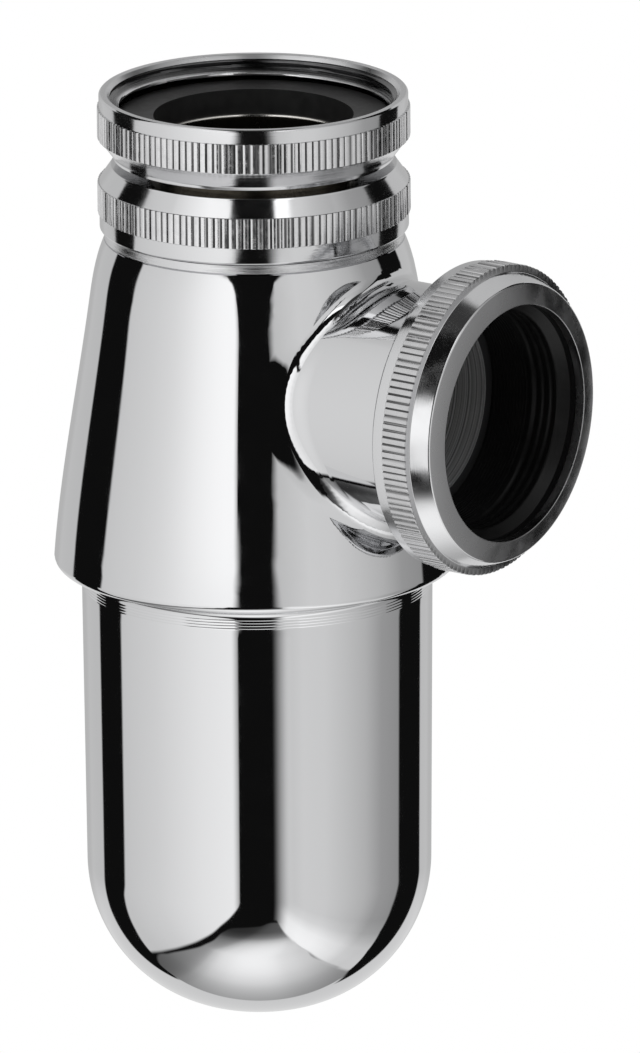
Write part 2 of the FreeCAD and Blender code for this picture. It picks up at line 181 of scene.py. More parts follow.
def clean_mesh(mesh):
    """Join points that fall together and turn every face outwards."""
    work = bmesh.new()
    work.from_mesh(mesh)
    bmesh.ops.remove_doubles(work, verts=work.verts, dist=1e-7)
    bmesh.ops.dissolve_degenerate(work, edges=work.edges, dist=1e-8)
    bmesh.ops.recalc_face_normals(work, faces=work.faces)
    work.to_mesh(mesh)
    work.free()


def make_skin(node, body, grids, slots, materials, move=None, closed=True):
    """A node's fine skin from stacked grids of equal columns; slots has a material number for each row."""
    name = node + "_skin"
    points = np.concatenate(grids)
    rows, columns = points.shape[:2]
    faces = skin_faces(rows, columns, closed)
    mesh = bpy.data.meshes.new(name)
    mesh.from_pydata((points.reshape(-1, 3) * MM).tolist(), [], faces)
    numbers = np.repeat(np.array(slots[:len(faces) // columns]), columns)
    mesh.polygons.foreach_set("material_index", numbers.astype(np.int32))
    for material in materials:
        mesh.materials.append(material)
    clean_mesh(mesh)
    if move is not None:
        mesh.transform(move)
    mesh.shade_smooth()
    mesh.set_sharp_from_angle(angle=math.radians(34))
    obj = bpy.data.objects.new(name, mesh)
    bpy.context.collection.objects.link(obj)
    weighted = obj.modifiers.new("weighted_normals", "WEIGHTED_NORMAL")
    weighted.keep_sharp = True
    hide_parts(node)
    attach(obj, body)


class Nodes:
    """A small builder for shader nodes."""

    def __init__(self, tree):
        self.tree = tree
        tree.nodes.clear()

    def add(self, kind, **settings):
        node = self.tree.nodes.new(kind)
        for key, value in settings.items():
            setattr(node, key, value)
        return node

    def put(self, socket, value):
        if isinstance(value, bpy.types.NodeSocket):
            self.tree.links.new(value, socket)
        elif value is not None:
            socket.default_value = value

    def math(self, operation, first, second=None, third=None):
        node = self.add("ShaderNodeMath", operation=operation)
        self.put(node.inputs[0], first)
        self.put(node.inputs[1], second)
        self.put(node.inputs[2], third)
        return node.outputs[0]

    def minus(self, first, second):
        return self.math("SUBTRACT", first, second)

    def total(self, *parts):
        value = parts[0]
        for part in parts[1:]:
            value = self.math("ADD", value, part)
        return value

    def product(self, *parts):
        value = parts[0]
        for part in parts[1:]:
            value = self.math("MULTIPLY", value, part)
        return value

    def remap(self, value, low, high, to_low=0.0, to_high=1.0, kind="SMOOTHSTEP"):
        node = self.add("ShaderNodeMapRange", interpolation_type=kind)
        self.put(node.inputs["Value"], value)
        self.put(node.inputs["From Min"], low)
        self.put(node.inputs["From Max"], high)
        self.put(node.inputs["To Min"], to_low)
        self.put(node.inputs["To Max"], to_high)
        return node.outputs["Result"]

    def spread(self, noise, to_low, to_high, low=0.3, high=0.7):
        """Noise stretched evenly from one level to another."""
        return self.remap(noise, low, high, to_low, to_high, "LINEAR")

    def curve(self, value, points):
        """Straight runs between the given (value, result) points, level beyond the ends."""
        result = points[0][1]
        for (start, low), (end, high) in zip(points, points[1:]):
            rise = self.remap(value, start, end, 0.0, high - low, "LINEAR")
            result = self.math("ADD", result, rise)
        return result

    def smooth_curve(self, value, points):
        """A smooth run through the given (value, result) points, level beyond the ends."""
        start, end = points[0][0], points[-1][0]
        low = min(result for _, result in points)
        high = max(result for _, result in points)
        spots = [((place - start) / (end - start), (result - low) / (high - low)) for place, result in points]
        node = self.add("ShaderNodeFloatCurve")
        line = node.mapping.curves[0]
        line.points[0].location = spots[0]
        line.points[1].location = spots[-1]
        for spot in spots[1:-1]:
            line.points.new(*spot)
        node.mapping.update()
        self.put(node.inputs["Value"], self.remap(value, start, end, 0.0, 1.0, "LINEAR"))
        return self.math("MULTIPLY_ADD", node.outputs[0], high - low, low)

    def noise(self, vector, scale, detail=2.0, roughness=0.5):
        node = self.add("ShaderNodeTexNoise", noise_dimensions="3D")
        self.put(node.inputs["Vector"], vector)
        self.put(node.inputs["Scale"], scale)
        self.put(node.inputs["Detail"], detail)
        self.put(node.inputs["Roughness"], roughness)
        return node.outputs["Fac"]

    def line_noise(self, place, scale, detail=2.0, roughness=0.5):
        """Noise along one length only, for marks that run round a turned form."""
        node = self.add("ShaderNodeTexNoise", noise_dimensions="1D")
        self.put(node.inputs["W"], place)
        self.put(node.inputs["Scale"], scale)
        self.put(node.inputs["Detail"], detail)
        self.put(node.inputs["Roughness"], roughness)
        return node.outputs["Fac"]

    def bump(self, height, distance, normal=None):
        node = self.add("ShaderNodeBump")
        node.inputs["Strength"].default_value = 1.0
        node.inputs["Distance"].default_value = distance
        self.put(node.inputs["Height"], height)
        if normal is not None:
            self.put(node.inputs["Normal"], normal)
        return node.outputs["Normal"]

    def ramp(self, value, first, last, start=0.0, end=1.0):
        """A colour that runs from the first to the last between two levels of the value."""
        node = self.add("ShaderNodeValToRGB")
        low, high = node.color_ramp.elements
        low.position = start
        high.position = end
        low.color = first
        high.color = last
        self.put(node.inputs[0], value)
        return node.outputs[0]

    def axis(self, name):
        """Object coordinates, distance from the inlet's or the outlet's axis, place along it and angle."""
        vector = self.add("ShaderNodeTexCoord").outputs["Object"]
        split = self.add("ShaderNodeSeparateXYZ")
        self.put(split.inputs[0], vector)
        x, y, z = split.outputs
        if name == "inlet":
            first, second, along = x, y, z
        else:
            first, second, along = y, self.minus(z, BRANCH_Z * MM), x
        squares = self.total(self.product(first, first), self.product(second, second))
        return vector, self.math("SQRT", squares), along, self.math("ARCTAN2", second, first)

    def polish(self, vector, wobble=1.0):
        """Normal of a polished surface, with long waves and short ripples."""
        waves = self.bump(self.noise(vector, WAVE_SCALE, 1.0), WAVE_HEIGHT * wobble)
        return self.bump(self.noise(vector, RIPPLE_SCALE, 1.0), RIPPLE_HEIGHT * wobble, waves)


# Finishes. Scales of noise are per metre, heights of bumps are metres
CHROME_COLOUR = (0.690, 0.692, 0.700, 1.0)
CHROME_ROUGH = (0.02, 0.06)
CLOUD_SCALE = 260.0
WAVE_SCALE = 70.0
WAVE_HEIGHT = 6e-6
RIPPLE_SCALE = 420.0
RIPPLE_HEIGHT = 5e-7


def new_material(name):
    """A material, its node builder and its shader."""
    material = bpy.data.materials.new(name)
    material.use_nodes = True
    nodes = Nodes(material.node_tree)
    shader = nodes.add("ShaderNodeBsdfPrincipled")
    output = nodes.add("ShaderNodeOutputMaterial")
    nodes.tree.links.new(shader.outputs[0], output.inputs["Surface"])
    return material, nodes, shader


def grey(tone, blue=1.0):
    """A grey that leans to blue or to yellow."""
    return tone, tone, tone * blue, 1.0


def polish_clouds(nodes, vector, rough=CHROME_ROUGH):
    """Roughness of plated metal, in faint clouds."""
    return nodes.spread(nodes.noise(vector, CLOUD_SCALE, 3.0), rough[0], rough[1], low=0.35)


def chrome(name, axis="inlet", wobble=1.0, lines=0.0, line_width=0.16, rough=CHROME_ROUGH,
           colour=CHROME_COLOUR):
    """Chrome plate: a little wobble in its polish, with turned lines where the lathe left them."""
    material, nodes, shader = new_material(name)
    vector, radius, along, angle = nodes.axis(axis)
    shader.inputs["Base Color"].default_value = colour
    shader.inputs["Metallic"].default_value = 1.0
    nodes.put(shader.inputs["Roughness"], polish_clouds(nodes, vector, rough))
    normal = nodes.polish(vector, wobble)
    if lines > 0:
        drift = nodes.product(nodes.math("SINE", angle), line_width * MM * 0.6)
        path = nodes.total(along, radius, drift)
        fine = nodes.line_noise(path, 1 / (line_width * MM), 2.0, 0.7)
        coarse = nodes.line_noise(path, 0.2 / (line_width * MM), 1.0, 0.5)
        normal = nodes.bump(fine, lines * 2.0e-6, normal)
        normal = nodes.bump(coarse, lines * 4.0e-6, normal)
    nodes.put(shader.inputs["Normal"], normal)
    return material


def knurl_finish(name, axis, crest_r, land, groove):
    """Knurled chrome: bright torn lands, and painted shade that darkens the grooves."""
    material, nodes, shader = new_material(name)
    vector, radius, _, _ = nodes.axis(axis)
    torn = nodes.noise(vector, 900.0, 3.0, 0.6)
    # Painted shade: the colour runs from the groove tone at the grooves' bottoms to the land tone on the
    # tops.
    height = nodes.remap(radius, (crest_r - KNURL_DEPTH * 0.75) * MM, (crest_r - KNURL_DEPTH * 0.2) * MM)
    level = nodes.product(height, nodes.spread(torn, 0.82, 1.0))
    nodes.put(shader.inputs["Base Color"], nodes.ramp(level, grey(groove, 1.01), grey(land, 1.01)))
    shader.inputs["Metallic"].default_value = 1.0
    nodes.put(shader.inputs["Roughness"], nodes.spread(torn, 0.16, 0.3))
    normal = nodes.bump(nodes.noise(vector, WAVE_SCALE, 1.0), WAVE_HEIGHT * 6)
    nodes.put(shader.inputs["Normal"], nodes.bump(torn, 1.2e-5, normal))
    return material


# Cast body: the collar under the neck nut, the branch's root and the outlet's bore
COLLAR_LOW_Z = -18.15
BRANCH_R = 17.75
BORE_R = 17.2
BORE_START_X = 10.0
SOCKET_SHOULDER_R = 14.35
SOCKET_SHOULDER_X = 30.8
ROOT_BLEND = 2.8
ROOT_RISE = 0.34
ROOT_START_X = 8.0
ROOT_FULL_X = 12.0
BELL_SIDE = ((-18.4, 21.96), (-21.03, 22.90), (-28.19, 24.25), (-43.42, 26.64), (-58.7, 28.90),
             (-66.15, 29.68))


def root_fillet(nodes, radius, along, outlet_radius, outlet_along):
    """Bump that widens the fillet where the branch meets the bell, except on the branch's upper side."""
    from_branch = nodes.minus(outlet_radius, BRANCH_R * MM)
    from_bell = radius
    for (start_z, start_r), (end_z, end_r) in zip(BELL_SIDE, BELL_SIDE[1:]):
        growth = nodes.remap(along, start_z * MM, end_z * MM, 0.0, (end_r - start_r) * MM, "LINEAR")
        from_bell = nodes.minus(from_bell, growth)
    from_bell = nodes.minus(from_bell, BELL_SIDE[0][1] * MM)
    apart = nodes.math("ABSOLUTE", nodes.minus(from_bell, from_branch))
    return nodes.product(
        nodes.remap(apart, 0.0, ROOT_BLEND * MM, ROOT_RISE, 0.0),
        nodes.remap(outlet_radius, (BRANCH_R - 0.5) * MM, (BRANCH_R - 0.3) * MM),
        nodes.remap(outlet_along, ROOT_START_X * MM, ROOT_FULL_X * MM),
        nodes.remap(along, (BRANCH_Z + 5.0) * MM, (BRANCH_Z + 12.0) * MM, 1.0, 0.0),
    )


def cast_body_chrome(name):
    """Polished outside, with lathe lines on the neck's collar and in the outlet's bore, and painted shade
    past the socket's shoulder.
    """
    material, nodes, shader = new_material(name)
    vector, radius, along, _ = nodes.axis("inlet")
    _, outlet_radius, outlet_along, _ = nodes.axis("outlet")
    in_bore = nodes.product(
        nodes.remap(outlet_radius, (BORE_R - 0.1) * MM, (BORE_R + 0.1) * MM, 1.0, 0.0),
        nodes.remap(outlet_along, BORE_START_X * MM, (BORE_START_X + 1.0) * MM),
    )
    on_collar = nodes.remap(along, (COLLAR_LOW_Z - 0.02) * MM, (COLLAR_LOW_Z + 0.02) * MM)
    ring_marks = nodes.remap(nodes.line_noise(outlet_along, 3500.0, 3.0, 0.7), 0.35, 0.65)
    # Painted shade: past the socket's shoulder the bore's colour is near black.
    shoulder = nodes.product(
        nodes.remap(outlet_radius, SOCKET_SHOULDER_R * MM, (SOCKET_SHOULDER_R + 0.15) * MM),
        nodes.remap(outlet_along, SOCKET_SHOULDER_X * MM, (SOCKET_SHOULDER_X + 0.15) * MM),
    )
    ring_marks_and_socket_shade = nodes.math("MAXIMUM", nodes.product(ring_marks, 0.7), shoulder)
    colour = nodes.ramp(nodes.product(ring_marks_and_socket_shade, in_bore), CHROME_COLOUR, (0.03, 0.03, 0.031, 1.0))
    nodes.put(shader.inputs["Base Color"], colour)
    nodes.put(shader.inputs["Metallic"], nodes.spread(in_bore, 1.0, 0.25, low=0.0, high=1.0))
    added = nodes.total(nodes.product(in_bore, 0.26), nodes.product(on_collar, 0.06))
    nodes.put(shader.inputs["Roughness"], nodes.total(polish_clouds(nodes, vector), added))
    outlet_lines = nodes.line_noise(outlet_along, 5000.0, 3.0, 0.7)
    neck_lines = nodes.line_noise(along, 7000.0, 3.0, 0.7)
    lines = nodes.total(nodes.product(outlet_lines, in_bore), nodes.product(neck_lines, on_collar))
    normal = nodes.polish(vector)
    normal = nodes.bump(nodes.product(lines, on_collar), 2.5e-5, normal)
    normal = nodes.bump(nodes.product(lines, in_bore), 5e-5, normal)
    fillet = root_fillet(nodes, radius, along, outlet_radius, outlet_along)
    nodes.put(shader.inputs["Normal"], nodes.bump(fillet, MM, normal))
    return material


def thread_finish(name):
    """Cut thread seen in the inlet: painted shade in its roots and a painted highlight on its crests."""
    material, nodes, shader = new_material(name)
    vector, radius, along, _ = nodes.axis("inlet")
    grain = nodes.noise(vector, 1500.0, 3.0, 0.6)
    crest_start = THREAD_R - THREAD_DEPTH * 0.55
    crest_end = THREAD_R - THREAD_DEPTH * 0.98
    # Painted light: the colour is dark in the thread's roots and pale on its crests, with a little grain.
    crest_highlight = nodes.remap(radius, crest_start * MM, crest_end * MM)
    crest_light_and_grain = nodes.total(nodes.product(crest_highlight, 0.8), nodes.product(grain, 0.2))
    colour = nodes.ramp(crest_light_and_grain, (0.12, 0.12, 0.122, 1.0), (0.70, 0.70, 0.71, 1.0), 0.1, 0.85)
    nodes.put(shader.inputs["Base Color"], colour)
    shader.inputs["Metallic"].default_value = 1.0
    nodes.put(shader.inputs["Roughness"], nodes.spread(grain, 0.10, 0.18))
    lines = nodes.line_noise(nodes.total(along, radius), 2600.0, 2.0, 0.6)
    nodes.put(shader.inputs["Normal"], nodes.bump(lines, 9e-5))
    return material


def rubber(name, axis, tone, ring_width=0.5, ring_depth=3e-6, shine=0.5, rough=(0.36, 0.5)):
    """Moulded black rubber with faint rings and a soft bloom."""
    material, nodes, shader = new_material(name)
    vector, radius, along, _ = nodes.axis(axis)
    bloom = nodes.noise(vector, 500.0, 4.0, 0.6)
    dark = (tone * 0.75, tone * 0.75, tone * 0.77, 1.0)
    pale = (tone * 1.35, tone * 1.35, tone * 1.33, 1.0)
    nodes.put(shader.inputs["Base Color"], nodes.ramp(bloom, dark, pale, 0.3, 0.75))
    shader.inputs["Specular IOR Level"].default_value = shine
    nodes.put(shader.inputs["Roughness"], nodes.spread(bloom, rough[0], rough[1]))
    rings = nodes.line_noise(nodes.total(along, radius), 1 / (ring_width * MM), 2.0, 0.6)
    normal = nodes.bump(rings, ring_depth)
    nodes.put(shader.inputs["Normal"], nodes.bump(nodes.noise(vector, 4000.0), 1.5e-6, normal))
    return material


def brass(name):
    """Turned brass, coloured very dark brown in noisy patches."""
    material, nodes, shader = new_material(name)
    vector, radius, along, _ = nodes.axis("inlet")
    dark_patches = nodes.noise(vector, 180.0, 4.0, 0.6)
    colour = nodes.ramp(dark_patches, (0.06, 0.052, 0.04, 1.0), (0.14, 0.125, 0.10, 1.0), 0.35, 0.7)
    nodes.put(shader.inputs["Base Color"], colour)
    shader.inputs["Metallic"].default_value = 1.0
    nodes.put(shader.inputs["Roughness"], nodes.spread(dark_patches, 0.36, 0.24))
    lines = nodes.line_noise(nodes.total(along, radius), 5000.0, 2.0, 0.6)
    nodes.put(shader.inputs["Normal"], nodes.bump(lines, 4e-6))
    return material


def slip_plastic(name):
    """Dark nylon with a fine moulded grain."""
    material, nodes, shader = new_material(name)
    vector, _, _, _ = nodes.axis("outlet")
    grain = nodes.noise(vector, 2500.0, 3.0)
    colour = nodes.ramp(grain, (0.004, 0.004, 0.0042, 1.0), (0.010, 0.010, 0.0102, 1.0))
    nodes.put(shader.inputs["Base Color"], colour)
    shader.inputs["Specular IOR Level"].default_value = 0.2
    nodes.put(shader.inputs["Roughness"], nodes.spread(grain, 0.38, 0.5))
    nodes.put(shader.inputs["Normal"], nodes.bump(grain, 2e-6))
    return material


polished = chrome("polished_chrome")
# The groove tones are painted shade in the knurls' grooves.
knurled = knurl_finish("knurled_chrome_lands", "inlet", inlet_high.x, land=0.80, groove=0.17)
knurled_outlet = knurl_finish("knurled_chrome_outlet", "outlet", outlet_high.y, land=0.66, groove=0.25)
rim_face = chrome("rim_face_chrome", wobble=12.0, lines=1.0, rough=(0.26, 0.36))
inlet_thread = thread_finish("inlet_thread_chrome")
turned_inlet = chrome("turned_chrome_inlet", wobble=2.0, lines=3.0, line_width=0.28, rough=(0.06, 0.15))
turned_outlet = chrome("turned_chrome_outlet", "outlet", wobble=2.0, lines=1.6, line_width=0.3,
                       rough=(0.09, 0.2))
outlet_face = chrome("outlet_face_chrome", "outlet", wobble=5.0, lines=0.6, rough=(0.2, 0.34),
                     colour=(0.43, 0.43, 0.435, 1.0))
thread_chrome = chrome("thread_chrome", wobble=2.0, rough=(0.08, 0.16))
body_chrome = cast_body_chrome("cast_body_chrome")
washer_rubber = rubber("washer_rubber", "inlet", 0.018)
seal_rubber = rubber("seal_rubber", "outlet", 0.007, ring_width=0.35, ring_depth=9e-6, shine=0.22,
                     rough=(0.3, 0.42))
tube_brass = brass("tube_brass")
tube_lip = chrome("tube_lip_plate", lines=1.5, rough=(0.16, 0.24), colour=(0.75, 0.73, 0.69, 1.0))
ring_plastic = slip_plastic("ring_plastic")

# Union nuts: fine skins with sharp knurls and threads
NUT_FACE_R = 20.55
NUT_SEAT_R = 19.4
NUT_LIP = 1.6
NUT_CONE = 2.0
RELIEF_R = 21.25
MOUTH_FLARE = 0.48
MOUTH_CHAMFER = 0.6
RIM_CHAMFER = 0.25
TUBE_HOLE_R = 15.3
PIPE_HOLE_R = 17.4
SMALL_GAP = 0.01

# Numbers of a nut's materials, in the order in which they are given to its skin
TURNED, KNURL, THREAD, RIM, FACE = range(5)


def knurl_rows(crest_r, top, bottom, angles, groove):
    """Rows of the knurled band, rounded over at its two edges."""
    heights = np.array([top, top - KNURL_ROUND, bottom + KNURL_ROUND, bottom])
    drops = np.array([[KNURL_ROUND], [0.0], [0.0], [KNURL_ROUND]])
    radii = np.maximum(crest_r - drops - KNURL_DEPTH * groove, crest_r - KNURL_DEPTH)
    return round_axis(radii, heights, angles)


def make_nut(node, crest_r, band, knurl, ends, length, hole_r, relief_end, seed, materials, move):
    """A nut's skin from its open rim (height 0) down the outside, round the closed end and up the bore.

    ends gives the closed end's outside corners as (depth below the knurl, radius, round).
    """
    angles, groove = tooth_angles(seed)
    floor_r = crest_r - KNURL_DEPTH - BAND_STEP
    rim_r = floor_r - RIM_CHAMFER
    knurl_end = -band - knurl
    lip_z = NUT_LIP - length
    mouth = softened([
        (THREAD_R - 0.02, -MOUTH_CHAMFER),
        (THREAD_R + MOUTH_FLARE, 0, 0.12),
        (rim_r - 0.1, 0),
    ])
    rim = softened([
        (rim_r - 0.1, 0),
        (rim_r, 0, 0.12),
        (floor_r, -RIM_CHAMFER, 0.12),
        (floor_r, -band + 0.02),
    ])[1:]
    closed_end = softened([
        (floor_r, knurl_end - 0.005),
        *((radius, knurl_end - depth, size) for depth, radius, size in ends),
        (hole_r, lip_z, 0.1),
        (NUT_SEAT_R, lip_z, 0.05),
        (RELIEF_R, lip_z + NUT_CONE, 0.05),
        (RELIEF_R, relief_end, 0.05),
        (THREAD_R, relief_end),
    ])
    face_top = knurl_end - ends[-2][0] + SMALL_GAP
    grids = [
        turned(mouth, angles),
        turned(rim, angles),
        knurl_rows(crest_r, -band, knurl_end, angles, groove),
        turned(closed_end, angles),
        thread_rows(THREAD_R, relief_end + 0.05, -MOUTH_CHAMFER - 0.1, angles),
    ]
    slots = [RIM] * len(mouth) + [TURNED] * len(rim) + [KNURL] * (len(grids[2]) - 1) + [TURNED]
    for radius, height in closed_end:
        on_face = height < face_top and hole_r - SMALL_GAP < radius < NUT_FACE_R + SMALL_GAP
        slots.append(FACE if on_face else TURNED)
    slots += [THREAD] * len(grids[4])
    make_skin(node, node, grids, slots, materials, move)


def make_inlet_nut():
    make_nut(
        "inlet_nut",
        crest_r=inlet_high.x,
        band=2.1,
        knurl=4.4,
        ends=((2.5, NUT_FACE_R + 0.15, 0.12), (3.05, NUT_FACE_R, 0.1), (3.05, TUBE_HOLE_R, 0.1)),
        length=RIM_Z - inlet_low.z,
        hole_r=TUBE_HOLE_R,
        relief_end=-3.6,
        seed=11,
        materials=(turned_inlet, knurled, inlet_thread, rim_face, turned_inlet),
        move=Matrix.Translation((0, 0, RIM_Z * MM)),
    )


def make_neck_nut():
    """The same kind of nut upside down, with a gap under the inlet nut."""
    make_nut(
        "neck_nut",
        crest_r=neck_high.x,
        band=2.55,
        knurl=4.5,
        ends=((2.3, NUT_FACE_R + 0.4, 0.1), (2.5, NUT_FACE_R + 0.3, 0.1), (2.5, TUBE_HOLE_R, 0.1)),
        length=neck_high.z - neck_low.z,
        hole_r=TUBE_HOLE_R,
        relief_end=-5.95,
        seed=12,
        materials=(turned_inlet, knurled, inlet_thread, turned_inlet, turned_inlet),
        move=Matrix.Translation((0, 0, neck_low.z * MM)) @ Matrix.Rotation(math.pi, 4, "X"),
    )


def along_branch(start_x):
    """Move that lays a skin's axis along the branch, with its height 0 at the given place."""
    return Matrix.Translation((start_x * MM, 0, BRANCH_Z * MM)) @ Matrix.Rotation(-math.pi / 2, 4, "Y")


def make_outlet_nut():
    make_nut(
        "outlet_nut",
        crest_r=outlet_high.y,
        band=2.0,
        knurl=4.15,
        ends=((0.005, outlet_high.y - 1.15, 0.1), (2.75, NUT_FACE_R, 0.25), (3.35, PIPE_HOLE_R, 0.15)),
        length=outlet_high.x - outlet_low.x,
        hole_r=PIPE_HOLE_R,
        relief_end=-5.1,
        seed=13,
        materials=(turned_outlet, knurled_outlet, thread_chrome, turned_outlet, outlet_face),
        move=along_branch(outlet_low.x),
    )


# Dip tube: a lathe skin with a rounded lip, so that its edge shines in the inlet
TUBE_BORE_R = 14.2
TUBE_WALL = 0.8
TUBE_FLANGE = 0.9
TUBE_LIP_ROUND = 0.45
TUBE_SEAM_DROP = 9.0
TUBE_COLUMNS = 240


def make_tube():
    top = tube_high.z
    low = tube_low.z
    outer_r = TUBE_BORE_R + TUBE_WALL
    flange_low = top - TUBE_FLANGE
    seam = (TUBE_BORE_R, top - TUBE_SEAM_DROP)
    points = softened([
        seam,
        (TUBE_BORE_R, flange_low),
        (TUBE_BORE_R, top, TUBE_LIP_ROUND),
        (tube_high.x, top, 0.15),
        (tube_high.x, flange_low, 0.15),
        (outer_r, flange_low, 0.1),
        (outer_r, low, 0.15),
        (TUBE_BORE_R, low, 0.15),
        seam,
    ])[:-1]
    slots = [1 if height > top - TUBE_LIP_ROUND else 0 for _, height in points]
    grid = turned(points, even_angles(TUBE_COLUMNS))
    make_skin("dip_tube", "dip_tube", [grid], slots, (tube_brass, tube_lip))


# Cup: spun brass with a turned shoulder, fine rings and a thread on its rim
CUP_SHOULDER_ROUND = 1.3
CUP_SHOULDER_DROP = 0.4
CUP_TAPER = 0.4
CUP_WALL = 1.2
CUP_STRAIGHT = 44.85
CUP_KNUCKLE_INSET = 2.6
CUP_CROWN_STEP = 23.0
CUP_THREAD_DEPTH = 1.1
CUP_COLUMNS = 360
CUP_RINGS = 4
CUP_RING_PITCH = 0.42
CUP_RING_DEPTH = 0.05
CUP_RING_SHAPE = ((0.0, 0.0), (0.2, 0.6), (0.35, 1.0), (0.5, 0.6), (0.7, 0.0))
CUP_DOME_STEPS = 64
CUP_INSIDE_STEPS = 40
CUP_WALL_ROWS = 14


def arc_points(centre, radius, start, end, steps):
    """Points of an arc in the outline's plane; angles in degrees from +radius towards +height."""
    turns = np.radians(np.linspace(start, end, steps + 1))
    return [(centre[0] + radius * math.cos(turn), centre[1] + radius * math.sin(turn)) for turn in turns]


def cup_dome_points(wall, low_r, dome_z, steps):
    """The dome's outline, a wall's thickness inside it: a small corner arc and a large crown arc."""
    knuckle_r = low_r - CUP_KNUCKLE_INSET
    crown_r = knuckle_r + CUP_CROWN_STEP
    drop = math.sqrt(CUP_CROWN_STEP ** 2 - CUP_KNUCKLE_INSET ** 2)
    tangent = -90 + math.degrees(math.asin(CUP_KNUCKLE_INSET / CUP_CROWN_STEP))
    knuckle = arc_points((CUP_KNUCKLE_INSET, dome_z), knuckle_r - wall, 0, tangent, steps)
    crown = arc_points((0, dome_z + drop), crown_r - wall, tangent, -90, steps // 2)
    crown[-1] = (0, crown[-1][1])
    return knuckle + crown[1:]


def make_cup():
    """The cup's skin, from the middle of the inside up to the rim and down the outside to the dome."""
    angles = even_angles(CUP_COLUMNS)
    thread_r = cup_high.x
    rim_z = cup_high.z
    bell_z = body_low.z
    top_r = thread_r - CUP_SHOULDER_ROUND
    low_r = top_r - CUP_TAPER
    bore_r = top_r - CUP_WALL
    dome_z = bell_z - CUP_STRAIGHT
    shoulder_z = bell_z - CUP_SHOULDER_DROP
    shoulder_low_z = shoulder_z - CUP_SHOULDER_ROUND

    def side_r(height):
        """Radius of the slightly tapered side."""
        return top_r - CUP_TAPER * (shoulder_low_z - height) / (shoulder_low_z - dome_z)

    inside = cup_dome_points(CUP_WALL, low_r, dome_z, CUP_INSIDE_STEPS)[::-1]
    inside += [(bore_r, shoulder_low_z), (bore_r, rim_z - 0.2)]
    inside += [(bore_r + 0.2, rim_z), (thread_r - 0.9, rim_z)]
    thread = thread_rows(thread_r - CUP_THREAD_DEPTH, rim_z - 0.1, bell_z + 0.6, angles, inwards=False)
    reach = np.hypot(thread[:, :, 0], thread[:, :, 1])
    thread[:, :, :2] *= (np.minimum(reach, thread_r - 0.02) / reach)[:, :, None]
    shoulder = [(thread_r - 0.3, bell_z + 0.3), (thread_r, bell_z), (thread_r, shoulder_z)]
    shoulder += arc_points((thread_r, shoulder_low_z), CUP_SHOULDER_ROUND, 90, 180, 12)
    rings = []
    for ring in range(CUP_RINGS):
        top = shoulder_low_z - 0.1 - ring * CUP_RING_PITCH
        for share, depth in CUP_RING_SHAPE:
            height = top - share * CUP_RING_PITCH
            rings.append((side_r(height) - CUP_RING_DEPTH * depth, height))
    wall_start = rings[-1][1]
    heights = [wall_start + (dome_z - wall_start) * share for share in np.linspace(0.03, 1, CUP_WALL_ROWS)]
    wall = [(side_r(height), height) for height in heights]
    outside = shoulder + rings + wall + cup_dome_points(0, low_r, dome_z, CUP_DOME_STEPS)[1:]
    grids = [turned(inside, angles), thread, turned(outside, angles)]
    slots = [0] * len(inside) + [1] * len(thread) + [2] * len(outside)
    materials = (turned_inlet, thread_chrome, polished)
    make_skin("cup", "cup", grids, slots, materials, closed=False)


# Outlet seal: moulded rubber with broad ribs at its mouth and fine ones behind them
SEAL_MOUTH_R = 17.3
SEAL_FLANGE_R = 19.7
SEAL_PLUG_R = 18.2
SEAL_PLUG_LENGTH = 4.2
SEAL_SLEEVE_R = 16.5
SEAL_BORE_R = 15.9
SEAL_LEAD_IN = 1.6
SEAL_BROAD_RIBS = 3
SEAL_BROAD_PITCH = 1.4
SEAL_BROAD_DEPTH = 0.45
SEAL_FINE_PITCH = 0.55
SEAL_FINE_DEPTH = 0.1
SEAL_COLUMNS = 360


def make_seal():
    face = -seal_high.x
    back = -seal_low.x
    branch_end = -body_high.x
    plug_end = branch_end + SEAL_PLUG_LENGTH
    outline = [
        (SEAL_MOUTH_R, face, 0.25),
        (SEAL_FLANGE_R, face, 0.2),
        (SEAL_FLANGE_R, branch_end, 0.1),
        (SEAL_PLUG_R, branch_end, 0.1),
        (SEAL_PLUG_R, plug_end, 0.1),
        (SEAL_SLEEVE_R, plug_end, 0.1),
        (SEAL_SLEEVE_R, back, 0.15),
        (SEAL_BORE_R, back, 0.15),
    ]
    broad_end = face + SEAL_LEAD_IN + SEAL_BROAD_RIBS * SEAL_BROAD_PITCH
    fine_end = back - 0.5
    for rib in range(int((fine_end - broad_end) / SEAL_FINE_PITCH)):
        height = fine_end - rib * SEAL_FINE_PITCH
        outline.append((SEAL_BORE_R, height, 0.1))
        outline.append((SEAL_BORE_R + SEAL_FINE_DEPTH, height - SEAL_FINE_PITCH / 2, 0.1))
    outline.append((SEAL_BORE_R, broad_end, 0.2))
    for rib in range(SEAL_BROAD_RIBS):
        height = broad_end - (rib + 0.5) * SEAL_BROAD_PITCH
        outline.append((SEAL_BORE_R + SEAL_BROAD_DEPTH, height, 0.35))
        outline.append((SEAL_BORE_R + SEAL_FINE_DEPTH, height - SEAL_BROAD_PITCH / 2, 0.35))
    outline.append(outline[0])
    points = softened(outline)[:-1]
    grid = turned(points, even_angles(SEAL_COLUMNS))
    slots = [0] * len(points)
    make_skin("outlet_seal", "trap_body", [grid], slots, (seal_rubber,), along_branch(0))


def dress(node, material):
    """Give a node that keeps its own mesh a finish."""
    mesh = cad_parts[node].data
    mesh.materials.clear()
    mesh.materials.append(material)


# Camera: a long lens at the photograph's angle
ROLL = math.radians(-0.41)
PHOTO_WIDTH = 640
PHOTO_HEIGHT = 1053
PHOTO_MM_PER_PIXEL = 0.1455
RIM_PIXEL = (256.4, 90.6)
CAMERA_DISTANCE = 2800.0
SENSOR_WIDTH = 36.0


